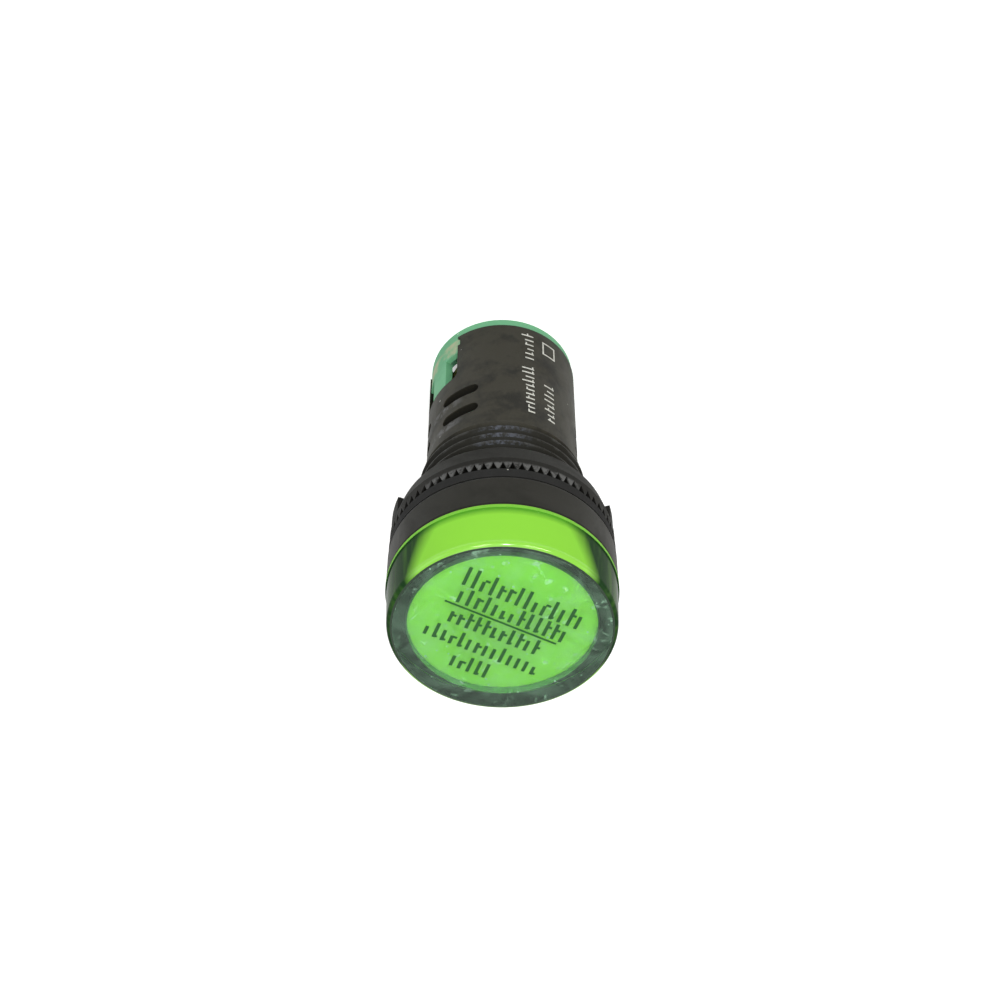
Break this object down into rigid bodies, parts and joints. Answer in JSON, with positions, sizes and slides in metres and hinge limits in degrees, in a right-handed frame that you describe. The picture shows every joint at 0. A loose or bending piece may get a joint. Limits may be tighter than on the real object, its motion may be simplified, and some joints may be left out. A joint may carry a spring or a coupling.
{
  "type": "panel pilot light",
  "caption": "Round indicator for a 22 mm panel hole: green lens, black bezel, threaded barrel with a toothed nut, slotted sleeve and screw terminals at the rear.",
  "frame": {"origin": "middle of the rear face of the terminal base, which the lamp stands on", "axes": "+Z along the barrel's axis towards the lens; the two terminals lie on +X and -X; the printed side faces -Y"},
  "size_m": [0.029, 0.029, 0.0516],
  "materials": {
    "film": "thin clear film with dust and small bubbles",
    "lens_green": "clear green, polished",
    "diffuser": "translucent bright green",
    "housing_black": "moulded, satin",
    "nut_black": "moulded, satin",
    "rubber": "matte",
    "base_green": "moulded, satin",
    "brass": "stamped, bright",
    "screw_steel": "bright zinc",
    "board": "fibre board",
    "diode": "clear tinted resin",
    "pin_metal": "tinned",
    "component_dark": "moulded",
    "component_yellow": "moulded",
    "component_sand": "lacquered",
    "lead_skin": "insulation"
  },
  "bodies": {
    "housing": {"protective_film": "film", "lens_cap": "lens_green", "lens_seal": "rubber", "diffuser_cup": "diffuser", "led_board": "board", "leds": "diode", "link_pins": "pin_metal", "driver_board": "board", "dropper_resistors": "component_sand", "film_capacitor": "component_yellow", "bridge_rectifier": "component_dark", "body_shell": "housing_black", "panel_gasket": "rubber", "terminal_base": "base_green", "terminal_plate_1": "brass", "lead_1": "lead_skin", "terminal_plate_2": "brass", "lead_2": "lead_skin"},
    "nut": {"mounting_nut": "nut_black"},
    "clamp_1": {"wire_clamp_1": "brass"},
    "clamp_2": {"wire_clamp_2": "brass"},
    "screw_1": {"terminal_screw_1": "screw_steel"},
    "screw_2": {"terminal_screw_2": "screw_steel"}
  },
  "joints": [
    {"name": "nut_travel", "type": "slide", "parent": "housing", "child": "nut", "axis": [0, 0, -1], "range_m": [0, 0.006]},
    {"name": "clamp_1_slide", "type": "slide", "parent": "housing", "child": "clamp_1", "axis": [0, 0, -1], "range_m": [0, 0.002]},
    {"name": "screw_1_turn", "type": "hinge", "parent": "clamp_1", "child": "screw_1", "pos_m": [0.0049, 0, 0.005], "axis": [0, 0, -1], "range_deg": [0, 1200]},
    {"name": "clamp_2_slide", "type": "slide", "parent": "housing", "child": "clamp_2", "axis": [0, 0, -1], "range_m": [0, 0.002]},
    {"name": "screw_2_turn", "type": "hinge", "parent": "clamp_2", "child": "screw_2", "pos_m": [-0.0049, 0, 0.005], "axis": [0, 0, -1], "range_deg": [0, 1200]}
  ],
  "couplings": [
    {"joint": "screw_1_turn", "follows": "clamp_1_slide", "rad_per_m": 10472},
    {"joint": "screw_2_turn", "follows": "clamp_2_slide", "rad_per_m": 10472}
  ]
}
